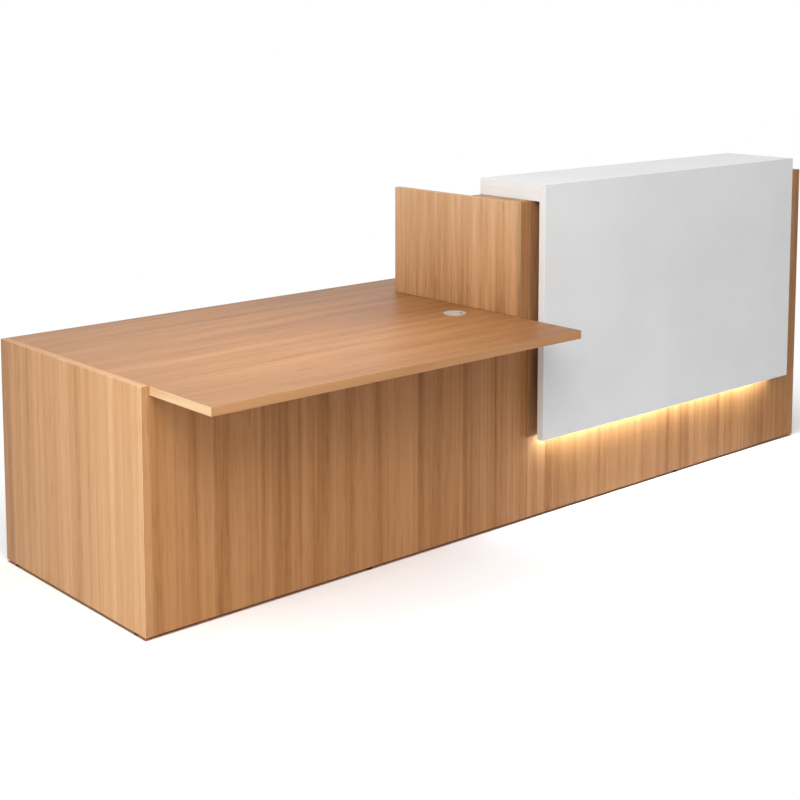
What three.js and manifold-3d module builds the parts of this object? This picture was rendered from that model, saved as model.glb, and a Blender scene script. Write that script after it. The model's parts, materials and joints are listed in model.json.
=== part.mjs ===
// A reception desk in wood decor board: a low desk with a deep visitor overhang, and a raised counter wall
// that carries a floating white hood with a light strip behind its lower edge.
// Millimetres, +Z up, visitors stand on the -Y side. Sizes are worked out from the desk's left face (X = 0),
// the front face of its gables (Y = 0) and the floor (Z = 0), and the finished group is then centred.
import * as THREE from 'three';
import { mergeVertices } from 'three/addons/utils/BufferGeometryUtils.js';
import Module from 'manifold-3d';

const wasm = await Module();
wasm.setup();

// Lengths along X
const DESK_LENGTH = 1495;          // low desk, left face to the raised side panel
const COUNTER_LENGTH = 1695;       // raised counter, over its two sides
const SEAM_OFFSET = 162;           // the front panels and tops meet this far inside the raised counter
const HOOD_INSET_LEFT = 75;        // wood left showing beside the white hood
const HOOD_INSET_RIGHT = 152;
const LIGHT_INSET_LEFT = 40;       // the light strip stops short of the hood's ends
const LIGHT_INSET_RIGHT = 60;

// Depths along Y
const OVERHANG = 305;              // desktop in front of the gables
const RAISED_DEPTH = 626;          // raised sides, front to rear
const REAR_WORKTOP = 219;          // worktop behind the raised sides
const WALL_DEPTH = 250;            // open shelf behind the raised wall
const HOOD_STANDOFF = 40;          // light gap between the raised wall and the white front

// Heights along Z
const DESK_HEIGHT = 740;
const RAISE = 396;                 // raised wall above the desktop
const HOOD_RISE = 60;              // white counter above the raised wall
const HOOD_BOTTOM = 298;           // lower edge of the white front above the floor
const FLOOR_GAP = 8;               // boards stand clear of the floor on their feet

// Boards
const BOARD = 28;                  // decor board
const HOOD_BOARD = 28;             // white board
const BACKING = 6;                 // dark sheet behind the white front
const BACKING_SETBACK = 3;         // its lower edge above the white front's
const BACKING_REVEAL = 12;         // dark strip that shows beside the white front
const ARRIS = 1;                   // broken edge of a banded board
const FIT = 0.3;                   // hairline at every butted or seated face
const OVERCUT = 2;                 // how far a cutting tool runs past a face
const STEP_RADIUS = 40;            // inner corner of the stepped right gable
const BATTEN_HEIGHT = 60;          // rails that hold the white front off the wall
const BATTEN_DROP = 20;            // upper batten below the top of the wall

// Light strip: an aluminium channel that opens downwards, its strip and its sliding cover
const LIGHT_RECESS = 6;            // channel's mouth above the white front's lower edge
const CHANNEL_WIDTH = 24;
const CHANNEL_HEIGHT = 12;
const CHANNEL_WALL = 1.4;
const CHANNEL_BASE = 1.6;
const LIP_REACH = 1.2;
const LIP_HEIGHT = 1;
const COVER_FLANGE = 1.4;          // thickness of the cover's flange on the lips
const STRIP_WIDTH = 10;
const STRIP_THICKNESS = 1.6;
const STRIP_CLEAR = 12;            // strip stops this far inside the channel's ends
const END_CAP = 2;

// Driver of the light strip and its lead
const DRIVER_LENGTH = 150;
const DRIVER_HEIGHT = 42;
const DRIVER_DEPTH = 28;
const DRIVER_EAR = 13;             // fixing ear at each end
const EAR_SCREW_PITCH = 22;
const EAR_THICKNESS = 3;
const DRIVER_TO_LEAD_HOLE = 110;   // driver's end to the hole in the front panel
const INLET_WIDTH = 22;
const INLET_HEIGHT = 12;
const INLET_DEPTH = 9;
const INLET_CORNER = 4;
const LEAD_DIAMETER = 4.4;
const LEAD_HOLE = 10;
const LEAD_DROP = 124;             // hole above the channel's middle
const LEAD_STANDOFF = 12;          // lead's drop beside the end cap
const LEAD_TAIL = 6;               // bare end inside the channel
const LEAD_BEND = 11;              // softening of each turn
const LEAD_SIDES = 8;
const LEAD_STEPS = 56;
const LEAD_CLEARANCE = 0.3;
const CLIP_WIDTH = 10;
const CLIP_WALL = 2.5;

// Cable outlet in the desktop
const OUTLET_FROM_WALL = 121;      // its middle left of the raised side panel
const OUTLET_FROM_FRONT = 173;     // its middle behind the gables' front face
const OUTLET_FLANGE = 80;
const OUTLET_HOLE = 70;
const OUTLET_WALL = 3;
const OUTLET_RISE = 2.8;           // flange above the desktop
const OUTLET_LEDGE = 1;            // seat of the lid inside the flange
const OUTLET_RIM = 2.8;            // width of the flange's rim round the lid
const OUTLET_DEPTH = 24;           // sleeve below the desktop's surface
const LID_CLEARANCE = 0.4;
const LID_SKIRT = 5;
const LID_SKIRT_WALL = 2;
const LID_DISH = 0.6;              // shallow dish in the lid
const LID_BORDER = 6;
const SLOT_WIDTH = 16;
const SLOT_REACH = 21;             // slot's inner end from the lid's edge
const LID_TURN = -41;              // degrees about Z, where the slot points at rest

// Levelling feet
const FOOT_INSET = 60;
const PAD_DIAMETER = 26;
const PAD_HEIGHT = 5;
const PAD_EDGE = 2;
const STUD_DIAMETER = 8;
const STUD_LENGTH = 30;            // above the pad
const STUD_CLEARANCE = 0.2;
const SOCKET_DIAMETER = 14;
const SOCKET_DEPTH = 34;           // inside the board
const SOCKET_FLANGE = 20;
const FLANGE_THICKNESS = 1.5;

// Steel angles and plate under the tops
const ANGLE_LEG = 40;
const ANGLE_THICKNESS = 2.5;
const ANGLE_LENGTH = 60;
const SCREW_HOLE = 5;
const SCREW_PITCH = 34;
const ANGLE_INSET = 190;           // angles on the gables, from the front and rear
const ANGLE_SPREAD = 400;          // angles on the front panels, either side of their middle
const PLATE_LENGTH = 120;
const PLATE_WIDTH = 40;
const PLATE_THICKNESS = 3;
const PLATE_BEHIND_GABLE = 60;
const PLATE_CORNER = 10;
const PLATE_HOLES = [20, 44];      // from the seam, on each side

// Roundness of turned parts and arcs
const TURN_FINE = 48;
const TURN_COARSE = 16;
const ARC_STEPS = 6;

// Planes that several boards share
const LENGTH = DESK_LENGTH + COUNTER_LENGTH;
const BODY_DEPTH = RAISED_DEPTH + REAR_WORKTOP;
const RAISED_TOP = DESK_HEIGHT + RAISE;
const COUNTER_TOP = RAISED_TOP + HOOD_RISE;
const DESK_UNDERSIDE = DESK_HEIGHT - BOARD;
const SEAM = DESK_LENGTH + SEAM_OFFSET;
const WALL_LEFT = DESK_LENGTH + BOARD + FIT;
const RIGHT_INNER = LENGTH - BOARD;
const BEHIND_FRONT = BOARD + FIT;
const HOOD_LEFT = DESK_LENGTH + HOOD_INSET_LEFT;
const HOOD_RIGHT = LENGTH - HOOD_INSET_RIGHT;
const HOOD_BACK = -HOOD_STANDOFF;
const HOOD_FACE = HOOD_BACK - HOOD_BOARD;
const LIGHT_LEFT = HOOD_LEFT + LIGHT_INSET_LEFT;
const LIGHT_RIGHT = HOOD_RIGHT - LIGHT_INSET_RIGHT;
const CHANNEL_BOTTOM = HOOD_BOTTOM + LIGHT_RECESS;
const CHANNEL_TOP = CHANNEL_BOTTOM + CHANNEL_HEIGHT;
const CHANNEL_MIDDLE = (HOOD_BACK - BACKING) / 2;

// Finishes
const WOOD = { color: 0xbf8a5c, roughness: 0.5, metalness: 0 };
const WHITE = { color: 0xe9e9e8, roughness: 0.35, metalness: 0 };
const BACKING_BROWN = { color: 0x5b3a24, roughness: 0.7, metalness: 0 };
const BATTEN = { color: 0xb79b74, roughness: 0.8, metalness: 0 };
const ALUMINIUM = { color: 0xc4c6c8, roughness: 0.35, metalness: 0.9 };
const OPAL = { color: 0xfff4dc, roughness: 0.5, metalness: 0 };
const GREY_PLASTIC = { color: 0xb9b5ae, roughness: 0.5, metalness: 0 };
const BLACK_PLASTIC = { color: 0x232323, roughness: 0.6, metalness: 0 };
const WHITE_PLASTIC = { color: 0xdedede, roughness: 0.5, metalness: 0 };
const ZINC_STEEL = { color: 0x9b9ea2, roughness: 0.4, metalness: 0.85 };

const desk = new THREE.Group();
desk.name = 'reception_desk';

function add(name, geometry, finish) {
  const mesh = new THREE.Mesh(geometry, new THREE.MeshStandardMaterial(finish));
  mesh.name = name;
  desk.add(mesh);
}

// Booleans on closed meshes

function toSolid(geometry) {
  const bare = geometry.clone();
  bare.deleteAttribute('normal');
  bare.deleteAttribute('uv');
  const welded = mergeVertices(bare);
  return new wasm.Manifold(new wasm.Mesh({
    numProp: 3,
    vertProperties: new Float32Array(welded.attributes.position.array),
    triVerts: new Uint32Array(welded.index.array),
  }));
}

function toGeometry(solid) {
  const mesh = solid.getMesh();
  const geometry = new THREE.BufferGeometry();
  geometry.setAttribute('position', new THREE.BufferAttribute(mesh.vertProperties, 3));
  geometry.setIndex(new THREE.BufferAttribute(mesh.triVerts, 1));
  geometry.computeVertexNormals();
  return geometry;
}

function cut(geometry, tools) {
  return toGeometry(tools.reduce((body, tool) => body.subtract(toSolid(tool)), toSolid(geometry)));
}

function join(geometries) {
  return toGeometry(geometries.map(toSolid).reduce((body, piece) => body.add(piece)));
}

function common(geometry, other) {
  return toGeometry(toSolid(geometry).intersect(toSolid(other)));
}

// Outlines and boards

function outline(points) {
  return new THREE.Shape(points.map(([u, v]) => new THREE.Vector2(u, v)));
}

function rectangle(u0, v0, u1, v1) {
  return outline([[u0, v0], [u1, v0], [u1, v1], [u0, v1]]);
}

// An outline whose corners marked true lose their sharp edge.
function brokenOutline(corners) {
  const at = (i) => new THREE.Vector2(...corners[(i + corners.length) % corners.length]);
  const towards = (from, to) => from.clone().add(to.clone().sub(from).setLength(ARRIS));
  return new THREE.Shape(corners.flatMap(([, , broken], i) => (
    broken ? [towards(at(i), at(i - 1)), towards(at(i), at(i + 1))] : [at(i)]
  )));
}

function roundedRectangle(width, height, radius) {
  const shape = new THREE.Shape();
  const u = width / 2 - radius;
  const v = height / 2 - radius;
  shape.absarc(u, v, radius, 0, Math.PI / 2);
  shape.absarc(-u, v, radius, Math.PI / 2, Math.PI);
  shape.absarc(-u, -v, radius, Math.PI, 1.5 * Math.PI);
  shape.absarc(u, -v, radius, 1.5 * Math.PI, 2 * Math.PI);
  return shape;
}

// A board with broken edges, from z = 0 up, inside its outline.
function plate(shape, thickness) {
  return new THREE.ExtrudeGeometry(shape, {
    depth: thickness - 2 * ARRIS,
    bevelEnabled: true,
    bevelThickness: ARRIS,
    bevelSize: ARRIS,
    bevelOffset: -ARRIS,
    bevelSegments: 1,
    curveSegments: ARC_STEPS,
  }).translate(0, 0, ARRIS);
}

// A plain extrusion from z = 0 up, for metal and plastic sections.
function bar(shape, length) {
  return new THREE.ExtrudeGeometry(shape, { depth: length, bevelEnabled: false, curveSegments: ARC_STEPS });
}

const X_AXIS = new THREE.Vector3(1, 0, 0);
const Y_AXIS = new THREE.Vector3(0, 1, 0);
const Z_AXIS = new THREE.Vector3(0, 0, 1);
const SECTION_YZ = new THREE.Matrix4().makeBasis(Y_AXIS, Z_AXIS, X_AXIS);
const SECTION_XZ = new THREE.Matrix4().makeBasis(X_AXIS, Z_AXIS, Y_AXIS.clone().negate());

// Lies flat: outline in X and Y, underside at z.
function lying(shape, z, thickness) {
  return plate(shape, thickness).translate(0, 0, z);
}

// Stands across the desk: outline in Y and Z, left face at x.
function across(shape, x, thickness) {
  return plate(shape, thickness).applyMatrix4(SECTION_YZ).translate(x, 0, 0);
}

// Stands along the desk: outline in X and Z, front face at y.
function along(shape, y, thickness) {
  return plate(shape, thickness).applyMatrix4(SECTION_XZ).translate(0, y + thickness, 0);
}

// A section in Y and Z that runs along the desk between two ends.
function running(shape, x0, x1) {
  return bar(shape, x1 - x0).applyMatrix4(SECTION_YZ).translate(x0, 0, 0);
}

// A round tool or rod along Y, about the origin.
function rod(diameter, length) {
  return new THREE.CylinderGeometry(diameter / 2, diameter / 2, length, TURN_COARSE);
}

function upright(diameter, z0, z1, sides) {
  return new THREE.CylinderGeometry(diameter / 2, diameter / 2, z1 - z0, sides)
    .rotateX(Math.PI / 2)
    .translate(0, 0, (z0 + z1) / 2);
}

function turned(profile, sides) {
  const points = profile.map(([r, z]) => new THREE.Vector2(r, z));
  return new THREE.LatheGeometry(points, sides).rotateX(Math.PI / 2);
}

// Levelling feet: where each one stands, and the hole that its socket needs

const frontPanelMiddle = (x0, x1) => [(x0 + x1) / 2, BOARD / 2];
const FEET = {
  left_front: [BOARD / 2, FOOT_INSET],
  left_rear: [BOARD / 2, BODY_DEPTH - FOOT_INSET],
  centre_front: [SEAM, BEHIND_FRONT + FOOT_INSET],
  centre_rear: [SEAM, RAISED_DEPTH - FOOT_INSET],
  right_front: [LENGTH - BOARD / 2, FOOT_INSET],
  right_rear: [LENGTH - BOARD / 2, BODY_DEPTH - FOOT_INSET],
  panel_left: frontPanelMiddle(BOARD, SEAM),
  panel_right: frontPanelMiddle(SEAM, RIGHT_INNER),
};

function socketHole(foot) {
  const [x, y] = FEET[foot];
  const roof = FLOOR_GAP + SOCKET_DEPTH + FIT;
  return upright(SOCKET_DIAMETER + 2 * FIT, 0, roof, TURN_COARSE).translate(x, y, 0);
}

// Carcass boards

function leftGable() {
  const board = across(rectangle(0, FLOOR_GAP, BODY_DEPTH, DESK_HEIGHT), 0, BOARD);
  return cut(board, ['left_front', 'left_rear'].map(socketHole));
}

function centreGable() {
  const shape = rectangle(BEHIND_FRONT, FLOOR_GAP, RAISED_DEPTH, DESK_UNDERSIDE - FIT);
  return cut(across(shape, SEAM - BOARD / 2, BOARD), ['centre_front', 'centre_rear'].map(socketHole));
}

// Full height in front, and stepped down with a round inner corner to the worktop behind.
function rightGable() {
  const shape = new THREE.Shape();
  shape.moveTo(0, FLOOR_GAP);
  shape.lineTo(BODY_DEPTH, FLOOR_GAP);
  shape.lineTo(BODY_DEPTH, DESK_HEIGHT);
  const [stepY, stepZ] = [RAISED_DEPTH + STEP_RADIUS, DESK_HEIGHT + STEP_RADIUS];
  shape.absarc(stepY, stepZ, STEP_RADIUS, 1.5 * Math.PI, Math.PI, true);
  shape.lineTo(RAISED_DEPTH, RAISED_TOP);
  shape.lineTo(0, RAISED_TOP);
  return cut(across(shape, RIGHT_INNER, BOARD), ['right_front', 'right_rear'].map(socketHole));
}

function frontPanel(x0, x1, foot, extraCuts = []) {
  const board = along(rectangle(x0, FLOOR_GAP, x1, DESK_UNDERSIDE - FIT), 0, BOARD);
  return cut(board, [socketHole(foot), ...extraCuts]);
}

const OUTLET_X = DESK_LENGTH - OUTLET_FROM_WALL;

// One sheet that overhangs towards the visitor, and passes under the raised side to the seam.
function desktop() {
  const shape = outline([
    [BOARD + FIT, -OVERHANG],
    [DESK_LENGTH, -OVERHANG],
    [DESK_LENGTH, 0],
    [DESK_LENGTH + BOARD, 0],
    [DESK_LENGTH + BOARD, BEHIND_FRONT],
    [SEAM - FIT / 2, BEHIND_FRONT],
    [SEAM - FIT / 2, BODY_DEPTH],
    [BOARD + FIT, BODY_DEPTH],
  ]);
  const hole = upright(OUTLET_HOLE, DESK_UNDERSIDE - OVERCUT, DESK_HEIGHT + OVERCUT, TURN_FINE);
  return cut(lying(shape, DESK_UNDERSIDE, BOARD), [hole.translate(OUTLET_X, OUTLET_FROM_FRONT, 0)]);
}

function staffWorktop() {
  const shape = rectangle(SEAM + FIT / 2, BEHIND_FRONT, RIGHT_INNER - FIT, BODY_DEPTH);
  return lying(shape, DESK_UNDERSIDE, BOARD);
}

// Raised wall with its open shelf

function raisedSide() {
  return across(rectangle(0, DESK_HEIGHT + FIT, RAISED_DEPTH, RAISED_TOP), DESK_LENGTH, BOARD);
}

function wallFront() {
  return along(rectangle(WALL_LEFT, DESK_UNDERSIDE, RIGHT_INNER - FIT, RAISED_TOP), 0, BOARD);
}

function wallTop() {
  return lying(rectangle(WALL_LEFT, BEHIND_FRONT, RIGHT_INNER - FIT, WALL_DEPTH), RAISED_TOP - BOARD, BOARD);
}

function wallDivider() {
  const shape = rectangle(BEHIND_FRONT, DESK_HEIGHT + FIT, WALL_DEPTH, RAISED_TOP - BOARD - FIT);
  return across(shape, (WALL_LEFT + RIGHT_INNER - BOARD) / 2, BOARD);
}

// White hood: the front and the top meet in a mitre, on a frame of low rails. Its pieces are sawn from one
// form, so their faces run through and only the hood's own edges are broken.

const MITRE = FIT / Math.SQRT2;
const HOOD_TOP_UNDERSIDE = COUNTER_TOP - HOOD_BOARD;
const RAIL_BOTTOM = RAISED_TOP + FIT;
const RAIL_TOP = HOOD_TOP_UNDERSIDE - FIT;
const RAIL_REAR = WALL_DEPTH - HOOD_BOARD;

function hoodForm() {
  const shape = brokenOutline([
    [HOOD_FACE, HOOD_BOTTOM, true],
    [HOOD_BACK, HOOD_BOTTOM, true],
    [HOOD_BACK, RAIL_BOTTOM],
    [WALL_DEPTH, RAIL_BOTTOM, true],
    [WALL_DEPTH, COUNTER_TOP, true],
    [HOOD_FACE, COUNTER_TOP, true],
  ]);
  return across(shape, HOOD_LEFT, HOOD_RIGHT - HOOD_LEFT);
}

// The part of the form inside a section in Y and Z, between two ends.
function hoodPiece(section, x0 = HOOD_LEFT - OVERCUT, x1 = HOOD_RIGHT + OVERCUT) {
  return common(hoodForm(), running(section, x0, x1));
}

function hoodFront() {
  return hoodPiece(outline([
    [HOOD_FACE - OVERCUT, HOOD_BOTTOM - OVERCUT],
    [HOOD_BACK + OVERCUT, HOOD_BOTTOM - OVERCUT],
    [HOOD_BACK + OVERCUT, RAIL_BOTTOM - OVERCUT],
    [HOOD_BACK, RAIL_BOTTOM],
    [HOOD_BACK, HOOD_TOP_UNDERSIDE - MITRE],
    [HOOD_FACE - OVERCUT, COUNTER_TOP + OVERCUT - MITRE],
  ]));
}

function hoodTop() {
  return hoodPiece(outline([
    [HOOD_BACK + MITRE, HOOD_TOP_UNDERSIDE],
    [WALL_DEPTH + OVERCUT, HOOD_TOP_UNDERSIDE],
    [WALL_DEPTH + OVERCUT, COUNTER_TOP + OVERCUT],
    [HOOD_FACE - OVERCUT + MITRE, COUNTER_TOP + OVERCUT],
  ]));
}

function hoodRail(y0, x0, x1) {
  return hoodPiece(rectangle(y0, RAIL_BOTTOM - OVERCUT, WALL_DEPTH + OVERCUT, RAIL_TOP), x0, x1);
}

function hoodEndLeft() {
  return hoodRail(HOOD_BACK + FIT, HOOD_LEFT - OVERCUT, HOOD_LEFT + HOOD_BOARD);
}

function hoodEndRight() {
  return hoodRail(HOOD_BACK + FIT, HOOD_RIGHT - HOOD_BOARD, HOOD_RIGHT + OVERCUT);
}

function hoodRearRail() {
  return hoodRail(RAIL_REAR, HOOD_LEFT + HOOD_BOARD + FIT, HOOD_RIGHT - HOOD_BOARD - FIT);
}

function hoodCentreRail() {
  const middle = (HOOD_LEFT + HOOD_RIGHT) / 2;
  const shape = rectangle(middle - HOOD_BOARD / 2, HOOD_BACK + FIT, middle + HOOD_BOARD / 2, RAIL_REAR - FIT);
  return lying(shape, RAIL_BOTTOM, RAIL_TOP - RAIL_BOTTOM);
}

function batten(z0) {
  const shape = rectangle(LIGHT_LEFT, z0, LIGHT_RIGHT, z0 + BATTEN_HEIGHT);
  const depth = HOOD_STANDOFF - BACKING - 3 * FIT;
  return along(shape, HOOD_BACK + FIT, depth);
}

const LEAD_X = LIGHT_RIGHT + END_CAP + LEAD_STANDOFF;
const LEAD_MIDDLE = CHANNEL_BOTTOM + (LIP_HEIGHT + FIT + COVER_FLANGE + CHANNEL_HEIGHT - CHANNEL_BASE) / 2;
const LEAD_Z = LEAD_MIDDLE + LEAD_DROP;

function leadHole() {
  const reach = BOARD + BACKING + OVERCUT;
  return rod(LEAD_HOLE, 2 * reach).translate(LEAD_X, 0, LEAD_Z);
}

function hoodBacking() {
  const [left, right] = [HOOD_LEFT - BACKING_REVEAL, HOOD_RIGHT + BACKING_REVEAL];
  const shape = rectangle(left, HOOD_BOTTOM + BACKING_SETBACK, right, RAISED_TOP);
  return cut(along(shape, -BACKING - FIT, BACKING), [leadHole()]);
}

// Light strip

const CHANNEL_INNER = CHANNEL_WIDTH / 2 - CHANNEL_WALL;

function channelSection() {
  const half = CHANNEL_WIDTH / 2;
  const mouth = CHANNEL_INNER - LIP_REACH;
  const roof = CHANNEL_HEIGHT - CHANNEL_BASE;
  return outline([
    [-half, 0],
    [-mouth, 0],
    [-mouth, LIP_HEIGHT],
    [-CHANNEL_INNER, LIP_HEIGHT],
    [-CHANNEL_INNER, roof],
    [CHANNEL_INNER, roof],
    [CHANNEL_INNER, LIP_HEIGHT],
    [mouth, LIP_HEIGHT],
    [mouth, 0],
    [half, 0],
    [half, CHANNEL_HEIGHT],
    [-half, CHANNEL_HEIGHT],
  ]);
}

// The cover's flange slides on the lips and its middle fills the channel's mouth.
function coverSection() {
  const mouth = CHANNEL_INNER - LIP_REACH - FIT;
  const flange = CHANNEL_INNER - FIT;
  const seat = LIP_HEIGHT + FIT;
  return outline([
    [-mouth, 0],
    [mouth, 0],
    [mouth, seat],
    [flange, seat],
    [flange, seat + COVER_FLANGE],
    [-flange, seat + COVER_FLANGE],
    [-flange, seat],
    [-mouth, seat],
  ]);
}

function inChannel(section, x0, x1) {
  return running(section, x0, x1).translate(0, CHANNEL_MIDDLE, CHANNEL_BOTTOM);
}

function stripSection() {
  const top = CHANNEL_HEIGHT - CHANNEL_BASE - FIT;
  return rectangle(-STRIP_WIDTH / 2, top - STRIP_THICKNESS, STRIP_WIDTH / 2, top);
}

const CAP_SECTION = rectangle(-CHANNEL_WIDTH / 2, 0, CHANNEL_WIDTH / 2, CHANNEL_HEIGHT);

function rightEndCap() {
  const hole = rod(LEAD_DIAMETER + 2 * LEAD_CLEARANCE, 4 * END_CAP)
    .rotateZ(Math.PI / 2)
    .translate(LIGHT_RIGHT, CHANNEL_MIDDLE, LEAD_MIDDLE);
  return cut(inChannel(CAP_SECTION, LIGHT_RIGHT, LIGHT_RIGHT + END_CAP), [hole]);
}

// Driver on the rear of the right front panel, and its lead through the panel to the channel

const DRIVER_RIGHT = LEAD_X - DRIVER_TO_LEAD_HOLE;
const DRIVER_LEFT = DRIVER_RIGHT - DRIVER_LENGTH;
const DRIVER_FRONT = BEHIND_FRONT;

function driver() {
  const low = LEAD_Z - DRIVER_HEIGHT / 2;
  const high = LEAD_Z + DRIVER_HEIGHT / 2;
  const body = along(rectangle(DRIVER_LEFT, low, DRIVER_RIGHT, high), DRIVER_FRONT, DRIVER_DEPTH);
  const ears = along(
    rectangle(DRIVER_LEFT - DRIVER_EAR, low, DRIVER_RIGHT + DRIVER_EAR, high), DRIVER_FRONT, EAR_THICKNESS);
  const screws = [DRIVER_LEFT - DRIVER_EAR / 2, DRIVER_RIGHT + DRIVER_EAR / 2].flatMap((x) =>
    [-1, 1].map((side) => rod(SCREW_HOLE, DRIVER_DEPTH)
      .translate(x, DRIVER_FRONT, LEAD_Z + (side * EAR_SCREW_PITCH) / 2)));
  const inlet = bar(roundedRectangle(INLET_HEIGHT, INLET_WIDTH, INLET_CORNER), 2 * INLET_DEPTH)
    .applyMatrix4(SECTION_YZ)
    .translate(DRIVER_LEFT - INLET_DEPTH, DRIVER_FRONT + DRIVER_DEPTH / 2 + EAR_THICKNESS / 2, LEAD_Z);
  return cut(join([body, ears]), [...screws, inlet]);
}

const LEAD_REAR = DRIVER_FRONT + DRIVER_DEPTH / 2;

// The lead's corners, each softened by two neighbours, as one smooth curve.
function leadCurve() {
  const corners = [
    [DRIVER_RIGHT + FIT, LEAD_REAR, LEAD_Z],
    [LEAD_X, LEAD_REAR, LEAD_Z],
    [LEAD_X, CHANNEL_MIDDLE, LEAD_Z],
    [LEAD_X, CHANNEL_MIDDLE, LEAD_MIDDLE],
    [LIGHT_RIGHT - LEAD_TAIL, CHANNEL_MIDDLE, LEAD_MIDDLE],
  ].map((point) => new THREE.Vector3(...point));
  const path = new THREE.CurvePath();
  let start = corners[0];
  for (let i = 1; i < corners.length - 1; i++) {
    const into = corners[i].clone().sub(corners[i - 1]).setLength(LEAD_BEND);
    const out = corners[i + 1].clone().sub(corners[i]).setLength(LEAD_BEND);
    const before = corners[i].clone().sub(into);
    const after = corners[i].clone().add(out);
    path.add(new THREE.LineCurve3(start, before));
    path.add(new THREE.QuadraticBezierCurve3(before, corners[i], after));
    start = after;
  }
  path.add(new THREE.LineCurve3(start, corners[corners.length - 1]));
  return path;
}

function lead() {
  const section = new THREE.Shape();
  for (let i = 0; i < LEAD_SIDES; i++) {
    const turn = (2 * Math.PI * i) / LEAD_SIDES;
    const u = (LEAD_DIAMETER / 2) * Math.cos(turn);
    const v = (LEAD_DIAMETER / 2) * Math.sin(turn);
    if (i === 0) section.moveTo(u, v);
    else section.lineTo(u, v);
  }
  return new THREE.ExtrudeGeometry(section, {
    extrudePath: leadCurve(),
    steps: LEAD_STEPS,
    bevelEnabled: false,
  });
}

// A saddle on the panel that the lead lies in.
function leadClip() {
  const x = DRIVER_RIGHT + DRIVER_TO_LEAD_HOLE / 2;
  const depth = LEAD_REAR - DRIVER_FRONT + LEAD_DIAMETER / 2 + CLIP_WALL;
  const height = LEAD_DIAMETER + 2 * (CLIP_WALL + LEAD_CLEARANCE);
  const block = rectangle(DRIVER_FRONT, LEAD_Z - height / 2, DRIVER_FRONT + depth, LEAD_Z + height / 2);
  const bore = rod(LEAD_DIAMETER + 2 * LEAD_CLEARANCE, 2 * CLIP_WIDTH)
    .rotateZ(Math.PI / 2)
    .translate(x, LEAD_REAR, LEAD_Z);
  return cut(running(block, x - CLIP_WIDTH / 2, x + CLIP_WIDTH / 2), [bore]);
}

// Cable outlet: a flanged sleeve, and a lid that turns on a ledge inside the flange

const SLEEVE_OUTER = OUTLET_HOLE / 2 - FIT;
const SLEEVE_BORE = SLEEVE_OUTER - OUTLET_WALL;
const LID_SEAT = OUTLET_FLANGE / 2 - OUTLET_RIM;
const LEDGE = FIT + OUTLET_LEDGE;
const FLANGE_TOP = FIT + OUTLET_RISE;

function atOutlet(geometry) {
  return geometry.translate(OUTLET_X, OUTLET_FROM_FRONT, DESK_HEIGHT);
}

function outletSleeve() {
  return atOutlet(turned([
    [SLEEVE_BORE, -OUTLET_DEPTH],
    [SLEEVE_OUTER, -OUTLET_DEPTH],
    [SLEEVE_OUTER, FIT],
    [OUTLET_FLANGE / 2, FIT],
    [OUTLET_FLANGE / 2, FLANGE_TOP - ARRIS],
    [OUTLET_FLANGE / 2 - ARRIS, FLANGE_TOP],
    [LID_SEAT, FLANGE_TOP],
    [LID_SEAT, LEDGE],
    [SLEEVE_BORE, LEDGE],
    [SLEEVE_BORE, -OUTLET_DEPTH],
  ], TURN_FINE));
}

function outletLid() {
  const edge = LID_SEAT - LID_CLEARANCE;
  const underside = LEDGE + FIT;
  const skirt = SLEEVE_BORE - LID_CLEARANCE;
  const disc = turned([
    [0, underside],
    [skirt - LID_SKIRT_WALL, underside],
    [skirt - LID_SKIRT_WALL, underside - LID_SKIRT],
    [skirt, underside - LID_SKIRT],
    [skirt, underside],
    [edge, underside],
    [edge, FLANGE_TOP],
    [edge - LID_BORDER, FLANGE_TOP],
    [edge - LID_BORDER - LID_DISH, FLANGE_TOP - LID_DISH],
    [0, FLANGE_TOP - LID_DISH],
  ], TURN_FINE);
  const half = SLOT_WIDTH / 2;
  const inner = edge - SLOT_REACH + half;
  const slot = new THREE.Shape();
  slot.moveTo(inner, -half);
  slot.lineTo(edge + half, -half);
  slot.lineTo(edge + half, half);
  slot.lineTo(inner, half);
  slot.absarc(inner, 0, half, Math.PI / 2, 1.5 * Math.PI);
  const bottom = underside - LID_SKIRT;
  const tool = bar(slot, FLANGE_TOP - bottom + 2 * OVERCUT).translate(0, 0, bottom - OVERCUT);
  return atOutlet(cut(disc, [tool]).rotateZ(THREE.MathUtils.degToRad(LID_TURN)));
}

// Feet and sockets

const SOCKET_BORE = STUD_DIAMETER / 2 + STUD_CLEARANCE;

function socket(x, y) {
  const rim = FLOOR_GAP - FIT;
  const roof = FLOOR_GAP + SOCKET_DEPTH;
  return turned([
    [SOCKET_BORE, rim - FLANGE_THICKNESS],
    [SOCKET_FLANGE / 2, rim - FLANGE_THICKNESS],
    [SOCKET_FLANGE / 2, rim],
    [SOCKET_DIAMETER / 2, rim],
    [SOCKET_DIAMETER / 2, roof],
    [SOCKET_BORE, roof],
    [SOCKET_BORE, rim - FLANGE_THICKNESS],
  ], TURN_COARSE).translate(x, y, 0);
}

function foot(x, y) {
  return turned([
    [0, 0],
    [PAD_DIAMETER / 2, 0],
    [PAD_DIAMETER / 2, PAD_EDGE],
    [STUD_DIAMETER / 2 + PAD_EDGE, PAD_HEIGHT],
    [STUD_DIAMETER / 2, PAD_HEIGHT],
    [STUD_DIAMETER / 2, PAD_HEIGHT + STUD_LENGTH],
    [0, PAD_HEIGHT + STUD_LENGTH],
  ], TURN_COARSE).translate(x, y, 0);
}

// Steel angles under the tops: one leg on the upright board, one on the top's underside

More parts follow.
